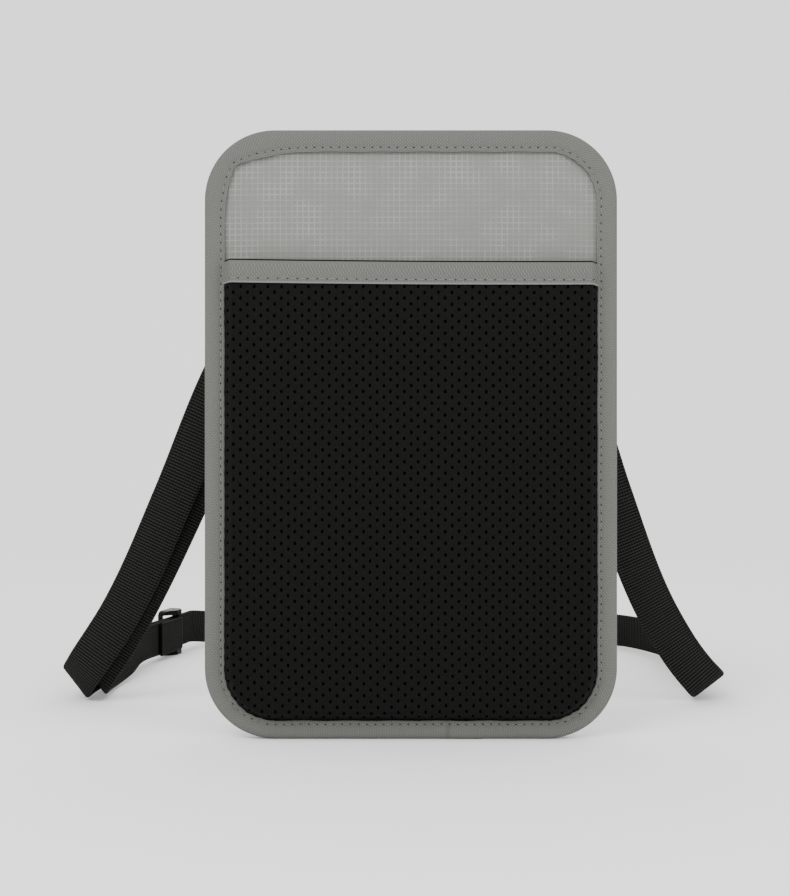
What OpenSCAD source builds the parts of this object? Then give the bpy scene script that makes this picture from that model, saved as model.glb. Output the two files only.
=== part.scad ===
// Neck pouch wallet: a flat zipped pouch with a mesh slip pocket on its body side,
// two zipped compartments on its outer side and an adjustable webbing neck strap.
// The pouch stands on its bottom edge. X is its width, Z its height, and the zips face +Y.
// The origin is the middle of the bottom edge, halfway through the thickness of the binding.

/* [Pouch] */
// Width over the binding
pouch_w = 135; // [131:1:139]
// Height over the binding
pouch_h = 199; // [197:1:203]
// Outer corner radius
corner_r = 23; // [20:1:26]
// How far the mesh pocket stands off the back panel, inside
mesh_depth = 5.7; // [5.2:0.1:6.2]
// How far the zipped side stands off the middle of the pouch, inside
front_depth = 5.2; // [5:0.05:5.3]

/* [Binding] */
// Thickness of the bound edge
binding_t = 5.6; // [5.6:0.1:6]
// Thickness of one layer of binding tape
tape_t = 0.9; // [0.8:0.05:0.9]
// Width of the binding seen along the sides
binding_side = 6.8; // [6.4:0.1:7.2]
// Width of the binding seen along the top
binding_top = 7.4; // [6.8:0.1:7.6]
// Width of the binding seen along the bottom
binding_bottom = 6.1; // [5.8:0.1:6.8]

/* [Mesh pocket] */
// Height of the pocket's hem above the bottom edge, at its lower seam
hem_z = 148; // [140:1:152]
// Height of the hem tape
hem_h = 7.4; // [6:0.2:8]

/* [Zips] */
// Height of the main zip
main_zip_z = 165; // [160:1:165]
// Height of the front pocket's zip
front_zip_z = 108; // [90:1:115]
// Height of the gap between the panel edges at each zip
zip_gap = 12; // [11:0.5:13]
// Travel of each zip slider
zip_travel = 98; // [60:1:98]
// Length of each zip puller
puller_l = 16; // [12:1:16]

/* [Strap] */
// Width of the webbing
strap_w = 15; // [14:0.5:15]
// Thickness of the webbing
strap_t = 1.3; // [1:0.1:1.4]

/* [Hidden] */
$fn = 32;
eps = 0.01;

// Sheets, from the body side (-Y) to the outer side (+Y)
panel_t = 0.8;
lining_t = 0.2;
mesh_t = 1.1;
sleeve_t = 0.4;
card_t = 0.3;
bag_t = 0.3;
back_y = -panel_t;
sleeve_y = lining_t;
card_y = sleeve_y + sleeve_t;
bag_y = 2.4;
front_rim_y = 1.0;
front_top_y = front_depth;
lining_rim_y = front_rim_y - lining_t;
lining_top_y = front_top_y - 0.5 - lining_t;
hem_skin = 0.5;
mesh_top_y = panel_t + mesh_depth;
tab_x = 55.6;

// Insets of a dished sheet from the outer edge of the pouch
edge_inset = 1.0;
foot_inset = 7.9;
slope_run = 3.5;
lining_foot = foot_inset + panel_t + 0.3;
window_r = 16.5;

// Zips
zip_tape_t = 0.5;
zip_tape_w = 11.5;
zip_half_gap = 0.45;
zip_half_l = 55;
coil_r = 0.85;
coil_half_l = 53.6;
coil_offset = 1.3;
zip_tape_y = front_top_y - zip_tape_t;
stop_x = 53.7;
stop_half_w = 2.2;
slider_l = 9;
slider_w = 7.6;
slider_x = zip_travel / 2;
flange_h = 1.45;
web_half_w = 0.25;
wing_t = 1.0;
upper_wing_y = front_top_y + 2.0;
lower_wing_y = zip_tape_y - 0.55 - wing_t;
bail_l = 5.4;
bail_w = 1.6;
bail_h = 2.4;
bail_post = 0.6;
pivot_r = 0.45;
pivot_y = upper_wing_y + wing_t + 1.0;
puller_w = 6;
puller_t = 1.1;
arm_out = 2.4;
arm_in = 1.15;
arm_l = 3.6;

// Strap hardware on the outer side, in a frame tilted to the strap's own direction
strap_lean = 22;
ring_foot = [-29, 0, 196];
ring_top = [11.8, -14.6];
ring_low = [17, -21];
ring_drop = norm(ring_low - ring_top);
ring_tilt = atan2(ring_low[0] - ring_top[0], ring_top[1] - ring_low[1]);
ring_wire_r = 1.2;
ring_inner_w = 16.4;
ring_half_w = ring_inner_w / 2 + ring_wire_r;
ring_bend = 2.2;
tab_t = 1.0;
tab_play = 0.3;
tab_bore_r = ring_wire_r + tab_play;
tab_foot = [3.9, -0.6];
tab_elbow = [8.4, -5];
tab_sewn_z = [-2, 0.1];

// Tri-glide, in a frame whose X runs along the strap and whose -Y faces the pouch
glide_pos = [-108.5, 176, 0];
glide_turn = 76;
glide_half_l = 9;
glide_h = 20.4;
glide_rail = 2.0;
glide_corner = 3.5;
glide_gap = 0.25;
end_bar_l = 2.2;
end_bar_y = strap_t / 2 + glide_gap;
end_bar_t = 2.0;
strap_mid_z = 9.8;
strap_low_z = strap_mid_z - strap_w / 2;
loop_t = 1.0;
loop_y = -strap_t / 2 - glide_gap;
loop_tail = 22;
bar_half_l = 1.2;
bar_t = 2.0;
bar_play = 0.15;
bar_y = loop_y - loop_t - bar_play;

// Neck strap: x, y and z of its middle, then the turn of its width about Y, in degrees.
// It starts on the right of the binding, runs down to the surface, behind the pouch, through the
// tri-glide, up to the ring and back beside itself to the tri-glide.
strap_route = [
    [25.7, 3.4, 196.2, -22], [27.5, 10.5, 191.8, -22], [30.4, 22, 184.5, -22],
    [34.4, 29, 174.5, -22], [38.8, 32, 163.5, -22], [62.2, 36.5, 108, -23], [72.5, 40, 78, -24], [93.5, 54, 31, -30], [103.5, 58.5, 16, -34], [111.5, 61.5, 6.8, -36],
    [113.4, 67, 5.5, -38], [113.4, 79, 6.8, -52], [115.5, 108, 7.8, -76], [117.5, 140, 8, -90],
    [114, 173, 8, -90], [101, 197, 8, -90], [72, 208, 8, -90], [-60, 210, 8, -90],
    [-96, 206.5, 8.4, -90], [-103.2, 197.3, 9.8, -90], [-104.6, 191.5, 9.8, -90],
    [-115.8, 146.9, 9.8, -90], [-117.2, 141.1, 9.8, -90], [-121, 104, 8, -106],
    [-124.3, 74, 7.5, -121], [-124.9, 63, 7.4, -128], [-121, 57, 12.5, -134],
    [-107, 51.5, 33, -150], [-84.2, 39, 78, -155], [-69.2, 30.6, 112, -156],
    [-42, 16.8, 164, -157],
    [-36.9, 13.8, 176.5, -158], [-35.8, 15.4, 179.1, -158], [-35.8, 18.6, 179.1, -158],
    [-36.9, 20.2, 176.5, -158], [-42, 22.5, 164, -157], [-78.5, 43.5, 79, -155],
    [-108.5, 58.5, 23, -146], [-118, 63.5, 9, -131], [-118.4, 78, 8, -116],
    [-114.8, 112, 9, -97], [-114.4, 139.4, 9.8, -90], [-108.2, 164.6, 9.8, -90]
];
ring_spacing = 22;
short_step = 4;

// ---- Outlines in the XZ plane ----

module rounded(x0, x1, z0, z1, r) {
    translate([x0 + r, z0]) square([x1 - x0 - 2 * r, z1 - z0]);
    translate([x0, z0 + r]) square([x1 - x0, z1 - z0 - 2 * r]);
    for (x = [x0 + r, x1 - r], z = [z0 + r, z1 - r])
        translate([x, z]) circle(r);
}

// The pouch's outline, inset evenly from its outer edge
module outline(inset) {
    half = pouch_w / 2 - inset;
    rounded(-half, half, inset, pouch_h - inset, corner_r - inset);
}

// An XZ outline given a thickness from y0 to y1
module slab(y0, y1) {
    translate([0, y1, 0]) rotate([90, 0, 0]) linear_extrude(y1 - y0) children();
}

module sheet(x0, x1, z0, z1, y0, t) {
    translate([x0, y0, z0]) cube([x1 - x0, t, z1 - z0]);
}

// ---- Dished sheets ----

// The raised middle of a sheet that bulges towards +Y, hollow behind
module raised(rim_y, top_y, t, foot) {
    difference() {
        hull() {
            slab(rim_y, rim_y + t) outline(foot);
            slab(top_y, top_y + t) outline(foot + slope_run);
        }
        hull() {
            slab(rim_y - t, rim_y) outline(foot + t);
            slab(top_y - eps, top_y) outline(foot + slope_run + t);
        }
    }
}

module dish(rim_y, top_y, t, foot) {
    raised(rim_y, top_y, t, foot);
    difference() {
        slab(rim_y, rim_y + t) outline(edge_inset);
        slab(rim_y - eps, rim_y + t + eps) outline(foot + eps);
    }
}

module front_dish() {
    dish(front_rim_y, front_top_y, panel_t, foot_inset);
}

module mesh_dish() {
    mirror([0, 1, 0]) dish(panel_t, mesh_top_y, mesh_t, foot_inset);
}

module between_z(z0, z1) {
    intersection() {
        children();
        translate([-pouch_w, -pouch_w / 2, z0]) cube([2 * pouch_w, pouch_w, z1 - z0]);
    }
}

// ---- Body side ----

module back_panel() {
    color("darkgray") slab(back_y, 0) outline(edge_inset);
}

module back_lining() {
    color("silver") slab(0, lining_t) outline(edge_inset + 0.5);
}

module mesh_pocket() {
    color("black") between_z(0, hem_z + hem_h - hem_skin) mesh_dish();
}

// Tape folded over the pocket's top edge
module mesh_pocket_hem() {
    color("gray") between_z(hem_z, hem_z + hem_h) difference() {
        mirror([0, 1, 0])
            raised(panel_t, mesh_top_y - hem_skin, mesh_t + 2 * hem_skin, foot_inset - hem_skin);
        between_z(0, hem_z + hem_h - hem_skin) mesh_dish();
    }
}

// ---- Inside the main compartment ----

module passport_sleeve() {
    color("dimgray") sheet(-56, 56, 12, 118, sleeve_y, sleeve_t);
}

module card_pocket_lower() {
    color("gray") sheet(-48, 48, 14, 60, card_y, card_t);
}

module card_pocket_upper() {
    color("gray") sheet(-48, 48, 64, 110, card_y, card_t);
}

module front_pocket_bag() {
    color("dimgray") sheet(-53, 53, 17, front_zip_z + 15, bag_y, bag_t);
}

module front_lining() {
    color("silver") difference() {
        dish(lining_rim_y, lining_top_y, lining_t, lining_foot);
        for (z = [main_zip_z, front_zip_z])
            sheet(-tab_x, tab_x, z - zip_gap / 2, z + zip_gap / 2, 0, front_depth);
    }
}

// ---- Outer side ----

module front_lower_panel() {
    color("darkgray") between_z(0, front_zip_z - zip_gap / 2) front_dish();
}

module front_middle_panel() {
    color("darkgray") between_z(front_zip_z + zip_gap / 2, main_zip_z - zip_gap / 2) front_dish();
}

module front_upper_panel() {
    color("darkgray") between_z(main_zip_z + zip_gap / 2, pouch_h) front_dish();
}

// Tabs that close the panels at both ends of each zip
module zip_end_tabs() {
    color("gray") for (z = [main_zip_z, front_zip_z], side = [-1, 1])
        intersection() {
            between_z(z - zip_gap / 2, z + zip_gap / 2) front_dish();
            translate([side * (tab_x + pouch_w / 2), 0, z]) cube(pouch_w, center = true);
        }
}

module edge_binding() {
    window_half = pouch_w / 2 - binding_side;
    color("gray") difference() {
        slab(-binding_t / 2, binding_t / 2) outline(0);
        slab(tape_t - binding_t / 2, binding_t / 2 - tape_t) outline(tape_t);
        slab(-binding_t, binding_t)
            rounded(-window_half, window_half, binding_bottom, pouch_h - binding_top, window_r);
    }
}

// ---- Zips ----

module zip_tapes(zip_z) {
    for (side = [-1, 1])
        translate([0, zip_tape_y + zip_tape_t / 2, zip_z + side * (zip_half_gap + zip_tape_w / 2)])
            cube([2 * zip_half_l, zip_tape_t, zip_tape_w], center = true);
}

module zip_coil(zip_z) {
    for (side = [-1, 1])
        translate([-coil_half_l, zip_tape_y + zip_tape_t + coil_r, zip_z + side * coil_offset])
            rotate([0, 90, 0]) cylinder(h = 2 * coil_half_l, r = coil_r);
}

// One closed stop at the open end, and one on each tape at the closed end
module zip_stops(zip_z) {
    top_y = zip_tape_y + zip_tape_t;
    stop_l = zip_half_l - stop_x;
    sheet(-zip_half_l, -stop_x, zip_z - stop_half_w, zip_z + stop_half_w, top_y, 2 * coil_r);
    for (z = [zip_z - stop_half_w, zip_z + zip_half_gap])
        translate([stop_x, top_y, z]) cube([stop_l, 2 * coil_r, stop_half_w - zip_half_gap]);
}

module zip_slider(zip_z) {
    translate([slider_x, 0, zip_z]) {
        for (y = [lower_wing_y, upper_wing_y])
            slab(y, y + wing_t)
                rounded(-slider_l / 2, slider_l / 2, -slider_w / 2, slider_w / 2, 1.8);
        for (side = [-1, 1])
            translate([0, upper_wing_y - flange_h / 2, side * (slider_w / 2 - 0.35)])
                cube([slider_l - 3.6, flange_h + eps, 0.7], center = true);
        translate([slider_l / 2 - 2.6, lower_wing_y + wing_t / 2, -web_half_w])
            cube([1.8, upper_wing_y - lower_wing_y, 2 * web_half_w]);
        translate([0, upper_wing_y + wing_t, 0]) zip_bail();
    }
}

// The bridge that holds the puller, standing on the upper wing
module zip_bail() {
    translate([0, 0, -bail_w / 2]) linear_extrude(bail_w) difference() {
        translate([-bail_l / 2, -eps]) square([bail_l, bail_h + eps]);
        translate([-bail_l / 2 + bail_post, 0]) square([bail_l - 2 * bail_post, bail_h - bail_post]);
    }
}

module zip_puller(zip_z) {
    translate([slider_x, pivot_y, zip_z]) {
        translate([0, 0, -arm_out]) cylinder(h = 2 * arm_out, r = pivot_r);
        for (side = [-1, 1]) translate([0, 0, side * (arm_out + arm_in) / 2]) {
            cylinder(h = arm_out - arm_in, r = puller_t / 2, center = true);
            translate([-arm_l / 2, 0, 0])
                cube([arm_l, puller_t, arm_out - arm_in], center = true);
        }
        slab(-puller_t / 2, puller_t / 2) difference() {
            rounded(-arm_l - puller_l, -arm_l + 1, -puller_w / 2, puller_w / 2, 0.9);
            translate([-arm_l, -arm_out]) square([2, 2 * arm_out]);
            translate([3 - arm_l - puller_l, 0]) circle(1.2);
        }
    }
}

module main_zip_tapes() {
    color("dimgray") zip_tapes(main_zip_z);
}

module main_zip_coil() {
    color("black") zip_coil(main_zip_z);
}

module main_zip_stops() {
    color("black") zip_stops(main_zip_z);
}

module main_zip_slider() {
    color("black") zip_slider(main_zip_z);
}

module main_zip_puller() {
    color("gray") zip_puller(main_zip_z);
}

module front_zip_tapes() {
    color("dimgray") zip_tapes(front_zip_z);
}

module front_zip_coil() {
    color("black") zip_coil(front_zip_z);
}

module front_zip_stops() {
    color("black") zip_stops(front_zip_z);
}

module front_zip_slider() {
    color("black") zip_slider(front_zip_z);
}

module front_zip_puller() {
    color("gray") zip_puller(front_zip_z);
}

// ---- Ring and its tab ----

module at_ring() {
    translate(ring_foot) rotate([0, strap_lean, 0]) children();
}

// Webbing folded round the ring's upper bar and sewn to the binding
module strap_tab() {
    color("black") at_ring() difference() {
        translate([-strap_w / 2, 0, 0]) union() {
            translate([0, binding_t / 2, tab_sewn_z[0]])
                cube([strap_w, 2 * tab_t, tab_sewn_z[1] - tab_sewn_z[0]]);
            rotate([90, 0, 90]) linear_extrude(strap_w) {
                tab_run(tab_foot, tab_t, tab_elbow, tab_t);
                tab_run(tab_elbow, tab_t, ring_top, tab_bore_r + tab_t);
            }
        }
        translate([0, ring_top[0], ring_top[1]])
            rotate([0, 90, 0]) cylinder(h = strap_w + 1, r = tab_bore_r, center = true);
    }
}

module tab_run(from, from_r, to, to_r) {
    hull() {
        translate(from) circle(from_r);
        translate(to) circle(to_r);
    }
}

// Rectangular wire loop: its upper bar turns in the tab, its lower bar carries the strap
module strap_ring() {
    bar_x = ring_half_w - ring_bend;
    color("black") at_ring() translate([0, ring_top[0], ring_top[1]])
        rotate([90 + ring_tilt, 0, 0]) {
            for (y = [0, -ring_drop]) translate([-bar_x, y, 0])
                rotate([0, 90, 0]) cylinder(h = 2 * bar_x, r = ring_wire_r);
            for (side = [-1, 1]) translate([side * ring_half_w, ring_bend - ring_drop, 0])
                rotate([-90, 0, 0]) cylinder(h = ring_drop - 2 * ring_bend, r = ring_wire_r);
            for (turn = [0 : 3])
                translate([
                    turn == 0 || turn == 3 ? bar_x : -bar_x,
                    turn < 2 ? -ring_bend : ring_bend - ring_drop,
                    0
                ])
                    rotate([0, 0, 90 * turn]) rotate_extrude(angle = 90)
                        translate([ring_bend, 0]) circle(ring_wire_r);
        }
}

// ---- Tri-glide ----

module at_glide() {
    translate(glide_pos) rotate([0, 0, glide_turn]) children();
}

// Two end bars on one side of the running strap, and the centre bar with its loop on the other
module tri_glide() {
    outer_y = end_bar_y + end_bar_t;
    inner_y = bar_y - bar_t;
    color("black") at_glide() intersection() {
        slab(inner_y - 1, outer_y + 1)
            rounded(-glide_half_l, glide_half_l, 0, glide_h, glide_corner);
        union() {
            for (z = [0, glide_h - glide_rail]) translate([0, 0, z]) linear_extrude(glide_rail)
                polygon([
                    [-glide_half_l, end_bar_y], [-glide_half_l, outer_y],
                    [glide_half_l, outer_y], [glide_half_l, end_bar_y],
                    [2 * bar_half_l, inner_y], [-2 * bar_half_l, inner_y]
                ]);
            for (x = [-glide_half_l, glide_half_l - end_bar_l]) linear_extrude(glide_h)
                rounded(x, x + end_bar_l, end_bar_y, outer_y, 0.6);
            linear_extrude(glide_h) rounded(-bar_half_l, bar_half_l, inner_y, bar_y, 0.6);
        }
    }
}

// Webbing sewn round the centre bar, with the strap's end held between its two tails
module strap_end_loop() {
    far_y = bar_y - bar_t - bar_play;
    wrap_x = bar_half_l + bar_play;
    color("black") at_glide() translate([0, 0, strap_low_z]) linear_extrude(strap_w) difference() {
        rounded(-loop_tail, wrap_x + loop_t, far_y - loop_t, loop_y, 0.9);
        translate([-loop_tail - 1, far_y]) square([loop_tail + 1 + wrap_x, loop_y - loop_t - far_y]);
    }
}

// ---- Neck strap ----

function place(i) = [strap_route[i][0], strap_route[i][1], strap_route[i][2]];
function span(i) = norm(place(i + 1) - place(i));
function heading(i) = (strap_route[i + 1] - strap_route[i]) / span(i);
last = len(strap_route) - 1;

// Rate of change of the route at a point, weighted towards its nearer neighbour
function rate(i) =
    i == 0 ? heading(0) :
    i == last ? heading(last - 1) :
    (heading(i - 1) * span(i) + heading(i) * span(i - 1)) / (span(i) + span(i - 1));

function between(i, t) =
    (2 * t ^ 3 - 3 * t ^ 2 + 1) * strap_route[i] + (t ^ 3 - 2 * t ^ 2 + t) * span(i) * rate(i)
    + (3 * t ^ 2 - 2 * t ^ 3) * strap_route[i + 1] + (t ^ 3 - t ^ 2) * span(i) * rate(i + 1);

function steps(i) = span(i) < short_step ? 2 : ceil(span(i) / ring_spacing);

strap_line = concat(
    [for (i = [0 : last - 1], j = [0 : steps(i) - 1]) between(i, j / steps(i))],
    [strap_route[last]]
);
rings = len(strap_line);

function point(k) = [strap_line[k][0], strap_line[k][1], strap_line[k][2]];
function unit(v) = v / norm(v);
function along(k) = unit(point(min(k + 1, rings - 1)) - point(max(k - 1, 0)));
function leaning(k) = [cos(strap_line[k][3]), 0, -sin(strap_line[k][3])];
function across(k) = unit(leaning(k) - (leaning(k) * along(k)) * along(k));

function strap_ring_points(k) =
    let (p = point(k), w = across(k) * strap_w / 2, n = cross(along(k), across(k)) * strap_t / 2)
    [p + w + n, p - w + n, p - w - n, p + w - n];

module neck_strap() {
    points = [for (k = [0 : rings - 1]) each strap_ring_points(k)];
    sides = [
        for (k = [0 : rings - 2], c = [0 : 3])
            let (a = 4 * k + c, b = 4 * k + (c + 1) % 4)
            each [[a, b, a + 4], [b, b + 4, a + 4]]
    ];
    end = 4 * (rings - 1);
    color("black") polyhedron(
        points = points,
        faces = concat(
            [[3, 2, 1], [3, 1, 0]],
            sides,
            [[end, end + 1, end + 2], [end, end + 2, end + 3]]
        ),
        convexity = 10
    );
}

// ---- Parts ----

back_panel();
back_lining();
mesh_pocket();
mesh_pocket_hem();
passport_sleeve();
card_pocket_lower();
card_pocket_upper();
front_pocket_bag();
front_lining();
front_lower_panel();
front_middle_panel();
front_upper_panel();
zip_end_tabs();
edge_binding();
main_zip_tapes();
main_zip_coil();
main_zip_stops();
main_zip_slider();
main_zip_puller();
front_zip_tapes();
front_zip_coil();
front_zip_stops();
front_zip_slider();
front_zip_puller();
strap_tab();
strap_ring();
neck_strap();
tri_glide();
strap_end_loop();
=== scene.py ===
"""Neck pouch wallet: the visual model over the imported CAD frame.

Lengths are in millimetres until a piece is made.
"""

import math

import bpy
import numpy as np
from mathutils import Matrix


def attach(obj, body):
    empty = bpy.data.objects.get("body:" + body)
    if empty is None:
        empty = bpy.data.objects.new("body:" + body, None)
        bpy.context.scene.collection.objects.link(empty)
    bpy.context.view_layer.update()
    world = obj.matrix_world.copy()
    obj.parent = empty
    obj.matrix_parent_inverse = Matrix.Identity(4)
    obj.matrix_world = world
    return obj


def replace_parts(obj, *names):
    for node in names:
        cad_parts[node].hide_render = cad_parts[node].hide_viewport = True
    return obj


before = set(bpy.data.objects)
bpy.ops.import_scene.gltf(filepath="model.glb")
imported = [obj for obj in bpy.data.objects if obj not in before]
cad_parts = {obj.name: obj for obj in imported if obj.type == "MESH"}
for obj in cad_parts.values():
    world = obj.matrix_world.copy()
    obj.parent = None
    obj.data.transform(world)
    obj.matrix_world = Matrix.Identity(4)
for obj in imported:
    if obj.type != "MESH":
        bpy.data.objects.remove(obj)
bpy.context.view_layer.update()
MM = 0.001

POUCH_W, POUCH_H, CORNER_R = 135.0, 199.0, 23.0
BIND_SIDE, BIND_TOP, BIND_BOTTOM, WINDOW_R = 6.8, 7.4, 6.1, 16.5
HEM_Z, HEM_TOP = 148.0, 155.4
MAIN_ZIP_Z, FRONT_ZIP_Z, ZIP_HALF_GAP = 165.0, 108.0, 6.0
STRAP_W, STRAP_T = 15.0, 1.3
RIB_PITCH, RIB_LIFT, SELVEDGE = 1.15, 0.2, 1.0
# one ply where the webbing is sewn double
DOUBLED_T = 0.95
# half the length of the zips' visible gap
ZIP_GAP_END = 54.6


# ---- Camera, floor and light ----

def make_camera():
    data = bpy.data.cameras.new("camera")
    data.lens = 52.7
    data.sensor_width = 36.0
    camera = bpy.data.objects.new("camera", data)
    camera.location = (-0.0052, -0.430, 0.095)
    camera.rotation_euler = (math.radians(90), 0, 0)
    bpy.context.scene.collection.objects.link(camera)
    bpy.context.scene.camera = camera


def area_light(name, place, target, size, power):
    data = bpy.data.lights.new(name, "AREA")
    data.shape = "DISK"
    data.size = size
    data.energy = power
    light = bpy.data.objects.new(name, data)
    light.location = place
    aim = np.array(target) - np.array(place)
    light.rotation_euler = (
        math.atan2(math.hypot(aim[0], aim[1]), -aim[2]), 0,
        math.atan2(aim[1], aim[0]) - math.pi / 2,
    )
    bpy.context.scene.collection.objects.link(light)


def make_studio():
    world = bpy.data.worlds.new("studio")
    bpy.context.scene.world = world
    world.use_nodes = True
    background = world.node_tree.nodes["Background"]
    background.inputs["Color"].default_value = (1, 1, 1, 1)
    background.inputs["Strength"].default_value = 1.7
    area_light("key", (-0.35, -0.6, 0.75), (0, 0, 0.1), 0.5, 5.0)
    area_light("fill", (0.6, -0.5, 0.4), (0, 0, 0.1), 0.6, 2.0)
    # a white sweep: flat floor, then a wide curve up into the backdrop
    profile = [(-1.5, 0.0), (0.8, 0.0)]
    profile += [(0.8 + 0.9 * math.sin(a), 0.9 - 0.9 * math.cos(a)) for a in np.linspace(0.1, math.pi / 2, 15)]
    profile.append((1.7, 3.0))
    points = [(x, y, z) for y, z in profile for x in (-3.0, 3.0)]
    mesh = bpy.data.meshes.new("floor")
    mesh.from_pydata(points, [], grid_faces(len(profile), 2))
    mesh.polygons.foreach_set("use_smooth", [True] * len(mesh.polygons))
    floor = bpy.data.objects.new("floor", mesh)
    bpy.context.scene.collection.objects.link(floor)
    mesh.materials.append(plain("floor_white", (0.93, 0.93, 0.93), 0.9))


# ---- Materials ----

def plain(name, color, roughness, metallic=0.0, specular=0.5):
    made = bpy.data.materials.new(name)
    made.use_nodes = True
    shader = made.node_tree.nodes["Principled BSDF"]
    shader.inputs["Base Color"].default_value = (*color, 1)
    shader.inputs["Roughness"].default_value = roughness
    shader.inputs["Metallic"].default_value = metallic
    shader.inputs["Specular IOR Level"].default_value = specular
    return made


def shader_of(made):
    return made.node_tree.nodes["Principled BSDF"]


def coordinates(made, uv=False):
    node = made.node_tree.nodes.new("ShaderNodeTexCoord")
    return node.outputs["UV" if uv else "Object"]


def wave(made, source, period, direction, distortion=0.0):
    """Bands of the given period in the coordinates' own unit."""
    node = made.node_tree.nodes.new("ShaderNodeTexWave")
    node.bands_direction = direction
    node.inputs["Scale"].default_value = 2 * math.pi / 20 / period
    node.inputs["Distortion"].default_value = distortion
    made.node_tree.links.new(source, node.inputs["Vector"])
    return node.outputs["Fac"]


def noise(made, source, size, detail=3.0):
    node = made.node_tree.nodes.new("ShaderNodeTexNoise")
    node.inputs["Scale"].default_value = 1 / size
    node.inputs["Detail"].default_value = detail
    made.node_tree.links.new(source, node.inputs["Vector"])
    return node.outputs["Fac"]


def mixed(made, a, b, kind="MULTIPLY"):
    node = made.node_tree.nodes.new("ShaderNodeMath")
    node.operation = kind
    made.node_tree.links.new(a, node.inputs[0])
    made.node_tree.links.new(b, node.inputs[1])
    return node.outputs[0]


def ramp(made, source, stops):
    node = made.node_tree.nodes.new("ShaderNodeValToRGB")
    elements = node.color_ramp.elements
    while len(elements) < len(stops):
        elements.new(0.5)
    for element, (place, color) in zip(elements, stops):
        element.position = place
        element.color = (*color, 1)
    made.node_tree.links.new(source, node.inputs["Fac"])
    return node.outputs["Color"]


def bump(made, height, distance, strength=1.0):
    node = made.node_tree.nodes.new("ShaderNodeBump")
    node.inputs["Distance"].default_value = distance
    node.inputs["Strength"].default_value = strength
    made.node_tree.links.new(height, node.inputs["Height"])
    made.node_tree.links.new(node.outputs["Normal"], shader_of(made).inputs["Normal"])


def colored(made, color):
    made.node_tree.links.new(color, shader_of(made).inputs["Base Color"])


def make_ripstop(name, base, line):
    """Plain weave with a square grid of heavier threads, over object X and Z."""
    made = plain(name, base, 0.75, specular=0.25)
    place = coordinates(made)
    pitch = RIPSTOP_PITCH * MM
    grid = mixed(made, wave(made, place, pitch, "X"), wave(made, place, pitch, "Z"), "MINIMUM")
    worn = mixed(made, mixed(made, grid, grid, "SQRT"), noise(made, place, 9 * MM, 2.0), "ADD")
    cell = tuple(0.9 * part for part in base)
    colored(made, ramp(made, worn, [(0.5, line), (0.76, base), (0.96, cell)]))
    bump(made, noise(made, place, 0.35 * MM), 0.1 * MM, 0.5)
    return made


def make_woven(name, dark, light, period, roughness=0.85, uv=True, unit=1.0):
    """Twill or knit: crossed waves made uneven by noise, in millimetres of UV or metres of object space."""
    made = plain(name, dark, roughness, specular=0.12)
    place = coordinates(made, uv)
    step = period * unit
    threads = mixed(made, wave(made, place, step, "X", 0.8), wave(made, place, step, "DIAGONAL", 0.8))
    threads = mixed(made, threads, noise(made, place, 1.3 * step))
    colored(made, ramp(made, threads, [(0.0, dark), (0.42, light)]))
    bump(made, threads, 0.12 * MM, 0.8)
    return made


def make_webbing(name, dark, light):
    """Ribs across the strap, crossed by fine lengthwise threads."""
    made = plain(name, dark, 0.75, specular=0.07)
    place = coordinates(made, True)
    ribs = wave(made, place, RIB_PITCH, "X", 0.3)
    lengthwise = mixed(made, wave(made, place, 0.95, "Y", 0.3), noise(made, place, 0.5))
    # squared, so that the dark between two ribs is wider than the rib
    threads = mixed(made, mixed(made, ribs, ribs), lengthwise, "ADD")
    colored(made, ramp(made, threads, [(0.3, dark), (1.0, light)]))
    bump(made, threads, 0.15 * MM, 0.7)
    return made


RIPSTOP_PITCH = 1.85
GREY, GREY_LINE = (0.171, 0.174, 0.161), (0.225, 0.229, 0.212)
materials = {
    "ripstop": make_ripstop("ripstop", GREY, GREY_LINE),
    "binding": make_woven("binding_twill", (0.085, 0.088, 0.079), (0.140, 0.144, 0.130), 0.55),
    "thread": plain("stitch_thread", (0.13, 0.134, 0.122), 0.7, specular=0.2),
    "black_thread": plain("black_thread", (0.008, 0.008, 0.008), 0.6, specular=0.2),
    # a lighter copy of the binding's grey: painted highlight along the rounded folds of the tapes
    "tape_fold_highlight": plain("tape_fold_highlight", (0.165, 0.169, 0.156), 0.8, specular=0.2),
    # near-black patches where thread enters the cloth: painted shade of the needle holes
    "needle_hole_shade": plain("needle_hole_shade", (0.012, 0.012, 0.011), 0.9, specular=0.0),
    "airmesh": make_woven(
        "airmesh_knit", (0.0009, 0.0009, 0.0008), (0.0046, 0.0046, 0.0040), 0.5, 0.85, False, MM
    ),
    # near-black finish inside the mesh's holes: painted shade
    "airmesh_hole_shade": plain("airmesh_hole_shade", (0.0008, 0.0008, 0.0008), 0.95, specular=0.0),
    "webbing": make_webbing("webbing_weave", (0.0007, 0.0007, 0.0006), (0.021, 0.021, 0.0188)),
    "gloss": plain("black_acetal", (0.0018, 0.0018, 0.0018), 0.32, specular=0.07),
    "zip_tape": make_woven(
        "zip_tape_weave", (0.018, 0.018, 0.018), (0.04, 0.04, 0.04), 0.6, 0.85, False, MM
    ),
    "coil": plain("zip_coil_nylon", (0.015, 0.015, 0.015), 0.35),
    "lacquer": plain("black_lacquer", (0.03, 0.03, 0.03), 0.28, 0.6),
    "lining": make_woven(
        "lining_taffeta", (0.28, 0.285, 0.27), (0.36, 0.365, 0.35), 0.4, 0.6, False, MM
    ),
}


# ---- Mesh building ----

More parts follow.
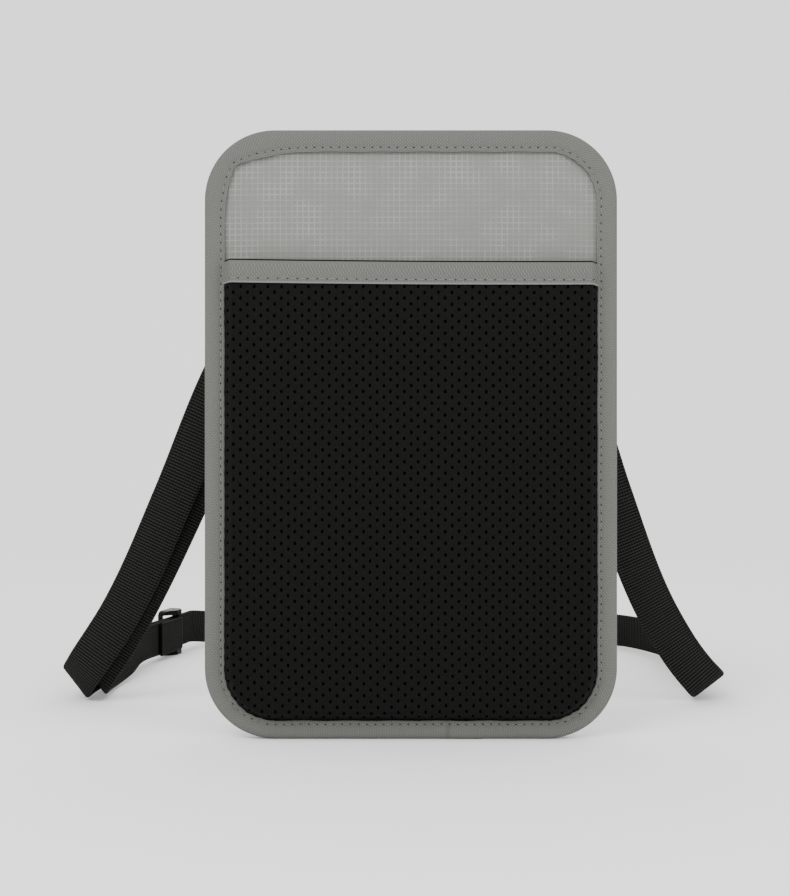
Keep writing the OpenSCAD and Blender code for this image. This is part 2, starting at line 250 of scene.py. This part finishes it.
def piece(name, points, faces, material, uv=None, body="pouch", kinds=None):
    """Makes one piece from points in millimetres, riding on a body."""
    mesh = bpy.data.meshes.new(name)
    mesh.from_pydata((np.asarray(points, float) * MM).tolist(), [], faces)
    mesh.polygons.foreach_set("use_smooth", [True] * len(mesh.polygons))
    finishes = material if isinstance(material, (list, tuple)) else [material]
    for one in finishes:
        mesh.materials.append(materials[one])
    if kinds is not None:
        mesh.polygons.foreach_set("material_index", kinds)
    if uv is not None:
        loops = np.empty(len(mesh.loops), dtype=np.int32)
        mesh.loops.foreach_get("vertex_index", loops)
        layer = mesh.uv_layers.new(name="cloth")
        layer.data.foreach_set("uv", np.asarray(uv, np.float32)[loops].ravel())
    mesh.update()
    made = bpy.data.objects.new(name, mesh)
    bpy.context.scene.collection.objects.link(made)
    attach(made, body)
    return made


def grid_faces(rows, columns, closed=False, keep=None):
    """Quads of a rows by columns grid of points; closed joins the last column to the first."""
    faces = []
    for r in range(rows - 1):
        for c in range(columns if closed else columns - 1):
            d = (c + 1) % columns
            corners = (r * columns + c, r * columns + d, (r + 1) * columns + d, (r + 1) * columns + c)
            if keep is None or all(keep[k] for k in corners):
                faces.append(corners)
    return faces


def smooth_step(value):
    t = np.clip(value, 0, 1)
    return t * t * (3 - 2 * t)


def inset_of(x, z):
    """How far a point lies inside the pouch's outline."""
    px = np.abs(x) - (POUCH_W / 2 - CORNER_R)
    pz = np.abs(z - POUCH_H / 2) - (POUCH_H / 2 - CORNER_R)
    outside = np.hypot(np.maximum(px, 0), np.maximum(pz, 0))
    return CORNER_R - outside - np.minimum(np.maximum(px, pz), 0)


def ripple(x, z, size):
    """Slow unevenness of hand-sewn cloth, from -1 to 1."""
    return (
        np.sin(x / 17.0 + 1.3) * np.sin(z / 23.0 + 0.7)
        + 0.5 * np.sin(x / 7.3 - z / 11.0 + 2.1)
        + 0.35 * np.sin(z / 5.9 + x / 29.0)
    ) / 1.85 * size


def mesh_y(x, z):
    """Outer face of the mesh pocket."""
    rise = smooth_step((inset_of(x, z) - 6.0) / 3.6)
    return -1.9 - 5.5 * rise + ripple(x, z, 0.15)


def front_y(x, z):
    """Outer face of the zipped side."""
    rise = smooth_step((inset_of(x, z) - 6.9) / 5.0)
    return 1.8 + rise * (4.2 + ripple(x, z, 0.2))


def back_y(x, z):
    """Body-side face of the back panel."""
    rise = smooth_step((inset_of(x, z) - 6.0) / 16.0)
    return -0.9 - rise * (1.3 + ripple(x, z, 0.3))


# ---- Ripstop panels ----

def thread_places(low, high):
    """Three places across each heavy thread, and whether each is on its crest."""
    places, crest = [], []
    for k in range(math.ceil(low / RIPSTOP_PITCH), math.floor(high / RIPSTOP_PITCH) + 1):
        for step in (-0.3, 0.0, 0.3):
            places.append(k * RIPSTOP_PITCH + step)
            crest.append(step == 0.0)
    return np.array([low] + places + [high]), np.array([False] + crest + [False])


def ripstop_sheet(name, surface, side, z0, z1, keep=None, turn_edge=0.8):
    """A sheet over X and Z with raised threads; side is the way it faces along Y."""
    xs, x_crest = thread_places(-POUCH_W / 2 + 3, POUCH_W / 2 - 3)
    zs, z_crest = thread_places(z0, z1)
    x, z = np.meshgrid(xs, zs)
    crest = x_crest[None, :] | z_crest[:, None]
    y = surface(x, z) + side * 0.09 * crest
    # cut edges turn in, so that the sheet shows its thickness
    inside = inset_of(x, z) > 4.0
    if keep is not None:
        inside &= keep(x, z)
    rows, columns = x.shape
    points = np.stack([x, y, z], -1).reshape(-1, 3)
    faces = grid_faces(rows, columns, keep=inside.ravel())
    made = piece(name, points, faces, "ripstop")
    solid = made.modifiers.new("thickness", "SOLIDIFY")
    solid.thickness = turn_edge * MM
    solid.offset = 0
    return made


# ---- Airmesh pocket ----

HOLE_DX, HOLE_DZ = 2.2, 1.88
# where the rows of holes start, and how far inside the outline the mesh begins
MESH_FOOT, MESH_EDGE = 6.0, 4.8
AROUND = [(1, 0), (1, 1), (0, 1), (-1, 1), (-1, 0), (-1, -1), (0, -1), (1, -1)]
HOLE_RINGS = [(0.44, 0.60, 0.0), (0.29, 0.42, 0.26), (0.20, 0.30, 0.85)]


def airmesh_pocket():
    points, faces, kinds, index = [], [], [], {}
    rng = np.random.default_rng(7)

    def lattice(m, n):
        if (m, n) not in index:
            index[m, n] = len(points)
            points.append((m * HOLE_DX / 2, 0.0, MESH_FOOT + n * HOLE_DZ / 2, 0.05 if (m + n) % 2 else 0.0))
        return index[m, n]

    for i in range(-29, 30):
        for j in range(0, 81):
            x, z = i * HOLE_DX, MESH_FOOT + j * HOLE_DZ
            if inset_of(x, z) < MESH_EDGE or z > HEM_TOP - 1:
                continue
            rim = [lattice(2 * i + a, 2 * j + b) for a, b in AROUND]
            if (i + j) % 2:
                centre = len(points)
                points.append((x, 0.0, z, 0.14))
                for k in range(8):
                    faces.append((rim[k], rim[(k + 1) % 8], centre))
                    kinds.append(0)
                continue
            previous = rim
            x, z = x + rng.uniform(-0.09, 0.09), z + rng.uniform(-0.09, 0.09)
            # below its first ring the hole's wall and bottom take the near-black hole finish: painted shade
            # inside the hole
            for depth_index, (rx, rz, depth) in enumerate(HOLE_RINGS):
                start = len(points)
                for k in range(8):
                    angle = k * math.pi / 4
                    points.append((x + rx * math.cos(angle), 0.0, z + rz * math.sin(angle), -depth))
                ring = list(range(start, start + 8))
                for k in range(8):
                    faces.append((previous[k], previous[(k + 1) % 8], ring[(k + 1) % 8], ring[k]))
                    kinds.append(0 if depth_index == 0 else 1)
                previous = ring
            centre = len(points)
            points.append((x, 0.0, z, -1.0))
            for k in range(8):
                faces.append((previous[k], previous[(k + 1) % 8], centre))
                kinds.append(1)
    data = np.array(points)
    x, z, height = data[:, 0], data[:, 2], data[:, 3]
    # the knit runs a little uneven towards the bottom of the pocket
    warp = 0.35 * smooth_step((40 - z) / 34)
    x = x + warp * np.sin(z / 9.0)
    z = z + warp * np.sin(x / 11.0)
    outer = np.stack([x, mesh_y(x, z) - height, z], -1)
    pocket = piece("airmesh_pocket", outer, faces, ["airmesh", "airmesh_hole_shade"], kinds=kinds)
    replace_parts(pocket, "mesh_pocket")


def airmesh_inner_layer():
    xs = np.linspace(-POUCH_W / 2 + 4, POUCH_W / 2 - 4, 64)
    zs = np.linspace(5, HEM_TOP - 1, 76)
    x, z = np.meshgrid(xs, zs)
    y = np.minimum(mesh_y(x, z) + 1.1, -1.0)
    points = np.stack([x, y, z], -1).reshape(-1, 3)
    piece("airmesh_inner_layer", points, grid_faces(76, 64, keep=(inset_of(x, z) > 4.5).ravel()), "airmesh")


# ---- Stitches ----

def resample(path, step):
    """Evenly spaced places along a path, and the path's direction at each."""
    path = np.asarray(path, float)
    lengths = np.concatenate([[0], np.cumsum(np.linalg.norm(np.diff(path[:, :3], axis=0), axis=1))])
    count = max(int(lengths[-1] / step), 1)
    at = (np.arange(count) + 0.5) * lengths[-1] / count
    centres = np.stack([np.interp(at, lengths, path[:, k]) for k in range(path.shape[1])], -1)
    ahead = np.stack([np.interp(at + 0.2, lengths, path[:, k]) for k in range(3)], -1)
    behind = np.stack([np.interp(at - 0.2, lengths, path[:, k]) for k in range(3)], -1)
    direction = ahead - behind
    return centres, direction / np.linalg.norm(direction, axis=1)[:, None]


STITCH_RINGS = [(-0.5, 0.3, 0.22), (-0.32, 0.9, 0.03), (0.0, 1.0, 0.0), (0.32, 0.9, 0.03), (0.5, 0.3, 0.22)]


# half the length and half the width of the near-black patch, painted shade in the hole that a needle leaves
NEEDLE_HOLE = (0.36, 0.2)


def stitch_row(path, normal, pitch, length=None, radius=0.2):
    """Points and faces of one row of thread stitches lying on cloth that faces along normal."""
    length = length or 0.8 * pitch
    centres, direction = resample(path, pitch)
    normal = np.asarray(normal, float)
    points, faces = [], []
    for centre, along in zip(centres[:, :3], direction):
        side = np.cross(along, normal)
        side /= np.linalg.norm(side)
        start = len(points)
        # a flat near-black patch where the thread goes in: painted shade of the needle hole
        hole = centre + along * pitch / 2 + normal * 0.03
        for k in range(6):
            angle = k * math.pi / 3
            points.append(
                hole + NEEDLE_HOLE[0] * math.cos(angle) * along + NEEDLE_HOLE[1] * math.sin(angle) * side
            )
        faces.append(tuple(range(start, start + 6)))
        start += 6
        for t, width, sink in STITCH_RINGS:
            middle = centre + along * t * length - normal * sink
            for k in range(6):
                angle = k * math.pi / 3
                points.append(middle + radius * width * (math.cos(angle) * side + math.sin(angle) * normal))
        for r in range(len(STITCH_RINGS) - 1):
            for k in range(6):
                a, b = start + 6 * r + k, start + 6 * r + (k + 1) % 6
                faces.append((a, b, b + 6, a + 6))
    return points, faces


def stitches(name, rows, body="pouch", thread="thread"):
    points, faces = [], []
    for row_points, row_faces in rows:
        start = len(points)
        points += row_points
        faces += [tuple(start + k for k in face) for face in row_faces]
    # the six-sided patches take the needle-hole finish, painted shade
    kinds = [int(len(face) == 6) for face in faces]
    return piece(name, points, faces, [thread, "needle_hole_shade"], body=body, kinds=kinds)


# ---- Hem of the mesh pocket ----

def hem_sag(x):
    return 0.3 * (x / 61.5) ** 2 - 0.3 - 0.006 * x


def hem_y(x):
    """How far out the hem lies; at its ends it stays just over the ripstop and goes under the binding."""
    return float(min(mesh_y(x, HEM_Z + 3), back_y(x, HEM_Z + 3) - 0.4))


def hem_tape():
    """Tape folded over the pocket's top edge: front leg, fold and back leg, swept along X."""
    profile = [
        (-0.15, HEM_Z + 0.1), (-0.55, HEM_Z), (-0.72, HEM_Z + 0.5), (-0.55, HEM_Z + 1.5),
        (-0.72, HEM_Z + 2.4), (-0.78, HEM_Z + 4.0), (-0.72, HEM_Z + 6.2), (-0.5, HEM_TOP - 0.35),
        (0.1, HEM_TOP - 0.1), (0.5, HEM_TOP - 0.05), (0.6, HEM_TOP + 0.4), (1.1, HEM_TOP + 0.35),
        (1.35, HEM_TOP - 0.5), (1.5, HEM_Z + 4.0), (1.4, HEM_Z + 0.2), (1.1, HEM_Z + 0.1),
    ]
    xs = np.linspace(-61.5, 61.5, 240)
    points, uv = [], []
    for x in xs:
        sag = hem_sag(x)
        for k, (dy, z) in enumerate(profile):
            points.append((x, hem_y(x) + dy, z + sag))
            uv.append((x, k * 1.0))
    columns = len(profile) - 1
    # the folded lower edge takes the lighter fold finish, a painted highlight, and a strip of the black knit
    # finish along the top of the fold paints the shadow line at the pocket's mouth
    kind_of = {0: 1, 1: 1, 9: 2, 10: 2, 11: 2}
    kinds = [kind_of.get(k % columns, 0) for k in range((len(xs) - 1) * columns)]
    faces = grid_faces(len(xs), len(profile))
    tape = piece("mesh_pocket_hem_tape", points, faces, ["binding", "tape_fold_highlight", "airmesh"], uv, kinds=kinds)
    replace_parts(tape, "mesh_pocket_hem")
    path = [
        (x, hem_y(x) - 0.62, HEM_Z + 1.5 + hem_sag(x))
        for x in np.linspace(-60, 60, 120)
    ]
    stitches("mesh_pocket_hem_stitches", [stitch_row(path, (0, -1, 0), 3.1, radius=0.22)])


# ---- Edge binding ----

ARC_STEPS, SIDE_STEPS = 28, 70
# points of one corner and the side after it
PER_CORNER = ARC_STEPS + SIDE_STEPS


def rounded_path(half_w, low, high, radius):
    """Points round a rounded rectangle in X and Z, from its lower right corner."""
    corners = [
        (half_w - radius, low + radius, -90), (half_w - radius, high - radius, 0),
        (-half_w + radius, high - radius, 90), (-half_w + radius, low + radius, 180),
    ]
    points = []
    for number, (cx, cz, start) in enumerate(corners):
        for k in range(ARC_STEPS + 1):
            angle = math.radians(start + 90 * k / ARC_STEPS)
            points.append((cx + radius * math.cos(angle), cz + radius * math.sin(angle)))
        nx, nz, turn = corners[(number + 1) % 4]
        first = points[-1]
        angle = math.radians(turn)
        final = (nx + radius * math.cos(angle), nz + radius * math.sin(angle))
        for k in range(1, SIDE_STEPS):
            t = k / SIDE_STEPS
            points.append((first[0] + (final[0] - first[0]) * t, first[1] + (final[1] - first[1]) * t))
    return np.array(points)


# how far the folded corner stands in from the left and from the top, and how long its curves are
FOLD_IN, FOLD_DOWN, FOLD_ALONG_TOP, FOLD_ALONG_SIDE = 3.4, 4.5, 26, 17


def mitred(path):
    """The tape's inner edge with its upper left corner folded to a point, and a long curve to each side."""
    arc_start = 2 * PER_CORNER
    arc_end = arc_start + ARC_STEPS
    left, top = path[:, 0].min(), path[:, 1].max()
    corner_x, corner_z = left + FOLD_IN, top - FOLD_DOWN
    half = (arc_start + arc_end) // 2
    path = path.copy()
    path[arc_start:half + 1, 0] = np.linspace(path[arc_start, 0], corner_x, half + 1 - arc_start)
    path[half:arc_end + 1, 1] = np.linspace(corner_z, path[arc_end, 1], arc_end + 1 - half)
    upper, side = slice(arc_start - SIDE_STEPS, half + 1), slice(half, arc_end + SIDE_STEPS)
    along = np.clip((path[upper, 0] - corner_x) / FOLD_ALONG_TOP, 0, 1)
    down = np.clip((corner_z - path[side, 1]) / FOLD_ALONG_SIDE, 0, 1)
    path[upper, 1] = top - FOLD_DOWN * (1 - along) ** 2
    path[side, 0] = left + FOLD_IN * (1 - down) ** 2
    return path


# the point of the bottom edge where the tape starts and ends
TAPE_START = 367
BIND_PROFILE = [
    (0.0, -1.6), (0.0, -2.5), (0.02, -2.72), (0.07, -2.78), (0.13, -2.74), (0.18, -2.55), (0.23, -2.74),
    (0.34, -2.86), (0.5, -2.92), (0.68, -2.88), (0.82, -2.7), (0.92, -2.25), (0.98, -1.4), (1.0, 0.0),
]
JOINT_X = (13.0, 24.0)


def binding_point(outer, inner, f, y, corner, number):
    """A point of the tape: f runs from the inner to the outer edge."""
    base = inner + (outer - inner) * f
    side = -1 if y < 0 else 1
    pucker = corner * (1 - f) * 0.2 * math.sin(number * 0.9) + 0.06 * math.sin(number * 0.37) * (1 - f)
    if inner[1] < 20 and JOINT_X[0] < base[0] < JOINT_X[1]:
        pucker -= 0.28
    slack = (1 - f) ** 3 * (0.14 * corner * math.sin(number * 1.7) + 0.08 * math.sin(number * 0.53))
    base = base + slack * (outer - inner) / np.linalg.norm(outer - inner)
    return (base[0], y - side * pucker if abs(y) > 1.5 else y, base[1])


def edge_binding():
    half = POUCH_W / 2
    outer = rounded_path(half, 0, POUCH_H, CORNER_R)
    inner = mitred(rounded_path(half - BIND_SIDE, BIND_BOTTOM, POUCH_H - BIND_TOP, WINDOW_R))
    profile = BIND_PROFILE + [(f, -y) for f, y in reversed(BIND_PROFILE[:-1])]
    points, uv, seams = [], [], ([], [])
    length = 0.0
    for step in range(len(outer)):
        number = (step + TAPE_START) % len(outer)
        place = number % PER_CORNER
        corner = smooth_step(min(place, ARC_STEPS - place) / 8 + 0.3) if place <= ARC_STEPS else 0.0
        if step:
            length += float(np.linalg.norm(outer[number] - outer[number - 1]))
        for k, (f, y) in enumerate(profile):
            points.append(binding_point(outer[number], inner[number], f, y, corner, number))
            uv.append((length, f * 7))
        for seam, side in zip(seams, (-1, 1)):
            x, y, z = binding_point(outer[number], inner[number], 0.18, side * 2.55, corner, number)
            seam.append((x, y + side * 0.1, z))
    columns = len(profile)
    count = len(outer)
    faces = grid_faces(count, columns)
    for c in range(columns - 1):
        faces.append(((count - 1) * columns + c, (count - 1) * columns + c + 1, c + 1, c))
    # the tape's two inner folded edges take the lighter fold finish: painted highlight along the folds
    fold_highlight_columns = (1, columns - 3)
    kinds = [int(k % (columns - 1) in fold_highlight_columns) for k in range(len(faces))]
    tape = piece("edge_binding_tape", points, faces, ["binding", "tape_fold_highlight"], uv, kinds=kinds)
    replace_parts(tape, "edge_binding")
    rows = [stitch_row(seam + seam[:1], (0, side, 0), 2.7, radius=0.2) for seam, side in zip(seams, (-1, 1))]
    stitches("edge_binding_stitches", rows)


# ---- Neck strap ----

STRAP_ROUTE = [
    [25.7, 3.4, 196.2, -22], [27.5, 10.5, 191.8, -22], [30.4, 22, 184.5, -22],
    [34.4, 29, 174.5, -22], [38.8, 32, 163.5, -22], [62.2, 36.5, 108, -23], [72.5, 40, 78, -24],
    [93.5, 54, 31, -30], [103.5, 58.5, 16, -34], [111.5, 61.5, 6.8, -36],
    [113.4, 67, 5.5, -38], [113.4, 79, 6.8, -52], [115.5, 108, 7.8, -76], [117.5, 140, 8, -90],
    [114, 173, 8, -90], [101, 197, 8, -90], [72, 208, 8, -90], [-60, 210, 8, -90],
    [-96, 206.5, 8.4, -90], [-103.2, 197.3, 9.8, -90], [-104.6, 191.5, 9.8, -90],
    [-115.8, 146.9, 9.8, -90], [-117.2, 141.1, 9.8, -90], [-121, 104, 8, -106],
    [-124.3, 74, 7.5, -121], [-124.9, 63, 7.4, -128], [-121, 57, 12.5, -134],
    [-107, 51.5, 33, -150], [-84.2, 39, 78, -155], [-69.2, 30.6, 112, -156],
    [-42, 16.8, 164, -157],
    [-36.9, 13.8, 176.5, -158], [-35.8, 15.4, 179.1, -158], [-35.8, 18.6, 179.1, -158],
    [-36.9, 20.2, 176.5, -158], [-42, 22.5, 164, -157], [-78.5, 43.5, 79, -155],
    [-108.5, 58.5, 23, -146], [-118, 63.5, 9, -131], [-118.4, 78, 8, -116],
    [-114.8, 112, 9, -97], [-114.4, 139.4, 9.8, -90], [-108.2, 164.6, 9.8, -90],
]


def strap_line():
    """The route as one smooth curve, densely sampled."""
    route = np.array(STRAP_ROUTE, float)
    gaps = np.linalg.norm(np.diff(route[:, :3], axis=0), axis=1)
    heading = np.diff(route, axis=0) / gaps[:, None]
    rate = [heading[0]]
    for i in range(1, len(route) - 1):
        rate.append((heading[i - 1] * gaps[i] + heading[i] * gaps[i - 1]) / (gaps[i] + gaps[i - 1]))
    rate.append(heading[-1])
    dense = []
    for i, gap in enumerate(gaps):
        for t in np.linspace(0, 1, max(int(gap * 4), 8), endpoint=False):
            dense.append(
                (2 * t ** 3 - 3 * t ** 2 + 1) * route[i] + (t ** 3 - 2 * t ** 2 + t) * gap * rate[i]
                + (3 * t ** 2 - 2 * t ** 3) * route[i + 1] + (t ** 3 - t ** 2) * gap * rate[i + 1]
            )
    dense.append(route[-1])
    return np.array(dense)


def even_line(path, step):
    """The path resampled at even lengths, ends included."""
    lengths = np.concatenate([[0], np.cumsum(np.linalg.norm(np.diff(path[:, :3], axis=0), axis=1))])
    at = np.linspace(0, lengths[-1], int(lengths[-1] / step) + 1)
    line = np.stack([np.interp(at, lengths, path[:, k]) for k in range(path.shape[1])], -1)
    return line, float(lengths[-1])


def unit(rows):
    return rows / np.linalg.norm(rows, axis=-1, keepdims=True)


def ribbon_profile(width, thickness):
    """Cross-section of webbing: flat faces, a groove inside each selvedge and round edges."""
    h, t = width / 2, thickness / 2
    top = [(-h + 0.15, 0.55 * t), (-h + 0.5, 0.95 * t), (-h + 1.1, t), (-h + 1.5, 0.8 * t),
           (-h + 1.9, t), (0.0, 1.05 * t), (h - 1.9, t), (h - 1.5, 0.8 * t), (h - 1.1, t),
           (h - 0.5, 0.95 * t), (h - 0.15, 0.55 * t)]
    return top + [(h, 0.0)] + [(a, -b) for a, b in reversed(top)] + [(-h, 0.0)]


def ribbon(name, line, across, width, thickness, body="pouch"):
    """Webbing swept along a line; its width lies along across. Ribs run from edge to edge."""
    along = unit(np.gradient(line, axis=0))
    across = unit(across - np.sum(across * along, axis=1)[:, None] * along)
    normal = np.cross(along, across)
    profile = ribbon_profile(width, thickness)
    points, uv = [], []
    for number in range(len(line)):
        rib = 0.0 if number % 2 else RIB_LIFT
        for a, b in profile:
            flat = abs(a) > width / 2 - SELVEDGE or b == 0
            lift = b + (0.0 if flat else math.copysign(rib, b))
            points.append(line[number] + across[number] * a + normal[number] * lift)
            uv.append((number * RIB_PITCH / 2, a))
    columns = len(profile)
    faces = grid_faces(len(line), columns, closed=True)
    last = (len(line) - 1) * columns
    faces += [tuple(range(columns))[::-1], tuple(range(last, last + columns))]
    return piece(name, points, faces, "webbing", uv, body=body)


def neck_strap():
    line, length = even_line(strap_line(), RIB_PITCH / 2)
    angle = np.radians(line[:, 3])
    hint = np.stack([np.cos(angle), np.zeros(len(line)), -np.sin(angle)], -1)
    strap = ribbon("neck_strap_webbing", line[:, :3], hint, STRAP_W, STRAP_T)
    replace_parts(strap, "neck_strap")
    return strap, line[:, :3], length


# ---- Strap tab, end loop, ring and tri-glide ----

STRAP_LEAN = math.radians(22)
RING_FOOT = np.array([-29.0, 0.0, 196.0])
RING_TOP = np.array([11.8, -14.6])
TAB_FOOT, TAB_ELBOW = np.array([3.9, -0.6]), np.array([8.4, -5.0])


def side_of(direction):
    return np.array([-direction[1], direction[0]]) / np.linalg.norm(direction)


def strap_tab():
    """Webbing doubled from the binding to the ring and back."""
    first, second = TAB_ELBOW - TAB_FOOT, RING_TOP - TAB_ELBOW
    n1, n2 = side_of(first), side_of(second)
    start = math.atan2(n2[1], n2[0])
    bend = [
        RING_TOP + 2.0 * np.array([math.cos(start - math.pi * k / 14), math.sin(start - math.pi * k / 14)])
        for k in range(15)
    ]
    middle = 0.52 * (n1 + n2) / 2
    flat = [TAB_FOOT + np.array([-0.4, 1.2]) + 0.5 * n1, TAB_FOOT + 0.5 * n1, TAB_ELBOW + middle] + bend
    flat += [TAB_ELBOW - middle, TAB_FOOT - 0.5 * n1, TAB_FOOT + np.array([-0.4, 0.6]) - 0.5 * n1]
    path = np.array([(0.0, p[0], p[1]) for p in flat])
    line, _ = even_line(path, RIB_PITCH / 2)
    turn = np.array([
        [math.cos(STRAP_LEAN), 0, math.sin(STRAP_LEAN)], [0, 1, 0],
        [-math.sin(STRAP_LEAN), 0, math.cos(STRAP_LEAN)],
    ])
    line = RING_FOOT + line @ turn.T
    tab = ribbon("strap_tab_webbing", line, np.tile(turn[:, 0], (len(line), 1)), STRAP_W - 0.2, DOUBLED_T)
    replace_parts(tab, "strap_tab")
    rows = []
    n = n1
    for t in (0.25, 0.6):
        centre = TAB_FOOT + t * first + 1.08 * n
        ends = [RING_FOOT + turn @ np.array([x, centre[0], centre[1]]) for x in (-6, 6)]
        rows.append(stitch_row(ends, turn @ np.array([0, n[0], n[1]]), 2.2))
    stitches("strap_tab_stitches", rows, thread="black_thread")


GLIDE_POS = np.array([-108.5, 176.0, 0.0])
GLIDE_TURN = math.radians(76)


def end_loop():
    """Webbing sewn round the tri-glide's centre bar."""
    near, far = -1.4, -4.7
    mid = (near + far) / 2
    radius = (near - far) / 2
    flat = [(-22.0, near)] + [(x, near) for x in (-15.0, -8.0, -2.0, 0.2)]
    flat += [
        (0.2 + radius * math.sin(math.pi * k / 12), mid + radius * math.cos(math.pi * k / 12))
        for k in range(1, 12)
    ]
    flat += [(0.2, far)] + [(x, far) for x in (-2.0, -8.0, -15.0, -22.0)]
    path = np.array([(u, v, 9.8) for u, v in flat])
    line, _ = even_line(path, RIB_PITCH / 2)
    c, s = math.cos(GLIDE_TURN), math.sin(GLIDE_TURN)
    turn = np.array([[c, -s, 0], [s, c, 0], [0, 0, 1]])
    line = GLIDE_POS + line @ turn.T
    upright = np.tile([0.0, 0.0, 1.0], (len(line), 1))
    loop = ribbon("strap_end_loop_webbing", line, upright, STRAP_W, DOUBLED_T, "glide")
    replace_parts(loop, "strap_end_loop")
    rows = []
    for u in (-19.5, -6.5):
        for v, facing in ((near + 0.52, 1), (far - 0.52, -1)):
            ends = [GLIDE_POS + turn @ np.array([u, v, z]) for z in (3.8, 15.8)]
            rows.append(stitch_row(ends, turn @ np.array([0, facing, 0]), 2.2))
    thread = stitches("strap_end_loop_stitches", rows, "glide", "black_thread")
    return [loop, thread]


def dress(node, material, bevel):
    """A CAD node that keeps its shape, with softened edges and its own finish."""
    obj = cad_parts[node]
    for slot in obj.material_slots:
        slot.material = materials[material]
    if not obj.material_slots:
        obj.data.materials.append(materials[material])
    if bevel:
        soft = obj.modifiers.new("edge", "BEVEL")
        soft.width = bevel * MM
        soft.segments = 3
        soft.limit_method = "ANGLE"
        soft.angle_limit = math.radians(35)
        soft.harden_normals = True


# ---- Zips ----

def coil_row(zip_z, side, wire=0.2, radius=0.62, pitch=1.15):
    """One helix of coil teeth along X."""
    turns = int(107.2 / pitch)
    steps = 12
    count = turns * steps
    t = np.arange(count + 1) / steps
    x = -53.6 + t * pitch
    angle = 2 * math.pi * t
    centre_y, centre_z = 5.2 + 0.85, zip_z + side * 1.3
    line = np.stack([x, centre_y + radius * np.sin(angle), centre_z + radius * 1.05 * np.cos(angle)], -1)
    along = unit(np.gradient(line, axis=0))
    out = unit(line - np.stack([x, np.full_like(x, centre_y), np.full_like(x, centre_z)], -1))
    side_way = np.cross(along, out)
    points = []
    for k in range(5):
        a = 2 * math.pi * k / 5
        points.append(line + wire * (math.cos(a) * out + math.sin(a) * side_way))
    return np.stack(points, 1).reshape(-1, 3), grid_faces(count + 1, 5, closed=True)


def zip_coil(name, zip_z, node):
    points, faces = [], []
    for side in (-1, 1):
        row_points, row_faces = coil_row(zip_z, side)
        start = sum(len(p) for p in points)
        points.append(row_points)
        faces += [tuple(start + k for k in face) for face in row_faces]
    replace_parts(piece(name, np.concatenate(points), faces, "coil"), node)


def folded_edge(name, z, way):
    """Panel edge turned under beside a zip, with its top stitching."""
    profile = [(2.6, 0.02), (2.6, 0.2), (2.2, 0.26), (0.5, 0.28), (0.1, 0.15), (0.0, -0.2), (0.05, -0.75)]
    xs = np.linspace(-56, 56, 160)
    points, uv = [], []
    for x in xs:
        for dz, dy in profile:
            points.append((x, float(front_y(x, z + way * 1.5)) + dy, z + way * dz))
            uv.append((x, dz))
    piece(name, points, grid_faces(len(xs), len(profile)), "binding", uv)
    path = [(x, float(front_y(x, z + way * 1.5)) + 0.33, z + way * 1.4) for x in np.linspace(-55, 55, 110)]
    return stitch_row(path, (0, 1, 0), 2.7)


def outer_side():
    gap = ZIP_HALF_GAP
    bands = [
        ("front_lower_ripstop", 4, FRONT_ZIP_Z - gap, "front_lower_panel"),
        ("front_middle_ripstop", FRONT_ZIP_Z + gap, MAIN_ZIP_Z - gap, "front_middle_panel"),
        ("front_upper_ripstop", MAIN_ZIP_Z + gap, POUCH_H - 4, "front_upper_panel"),
    ]
    for name, low, high, node in bands:
        panel = ripstop_sheet(name, front_y, 1, low, high)
        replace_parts(panel, node)
    rows = []
    for label, zip_z in (("main", MAIN_ZIP_Z), ("front", FRONT_ZIP_Z)):
        tabs = ripstop_sheet(
            label + "_zip_end_tabs", front_y, 1, zip_z - gap - 0.5, zip_z + gap + 0.5,
            keep=lambda x, z: np.abs(x) > ZIP_GAP_END,
        )
        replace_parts(tabs, "zip_end_tabs")
        rows.append(folded_edge(label + "_zip_lower_edge", zip_z - gap, -1))
        rows.append(folded_edge(label + "_zip_upper_edge", zip_z + gap, 1))
    stitches("zip_edge_stitches", rows)


def body_side():
    back = ripstop_sheet("back_ripstop", back_y, -1, 120, POUCH_H - 4)
    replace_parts(back, "back_panel")
    xs, zs = np.linspace(-63, 63, 40), np.linspace(4, 121, 40)
    x, z = np.meshgrid(xs, zs)
    points = np.stack([x, back_y(x, z), z], -1).reshape(-1, 3)
    piece("back_ripstop_lower", points, grid_faces(40, 40, keep=(inset_of(x, z) > 4).ravel()), "ripstop")
    airmesh_pocket()
    airmesh_inner_layer()
    hem_tape()


# ---- The scene ----

make_camera()
strap, strap_path, strap_length = neck_strap()
loop_pieces = end_loop()
make_studio()
body_side()
edge_binding()
outer_side()
strap_tab()
zip_coil("main_zip_coil_teeth", MAIN_ZIP_Z, "main_zip_coil")
zip_coil("front_zip_coil_teeth", FRONT_ZIP_Z, "front_zip_coil")
for zip_name in ("main_zip", "front_zip"):
    dress(zip_name + "_tapes", "zip_tape", 0)
    dress(zip_name + "_stops", "coil", 0.2)
    dress(zip_name + "_slider", "lacquer", 0.25)
    dress(zip_name + "_puller", "lacquer", 0.25)
dress("strap_ring", "gloss", 0)
dress("tri_glide", "gloss", 0.8)
for node in (
    "back_lining", "passport_sleeve", "card_pocket_lower", "card_pocket_upper", "front_pocket_bag",
    "front_lining",
):
    dress(node, "lining", 0)
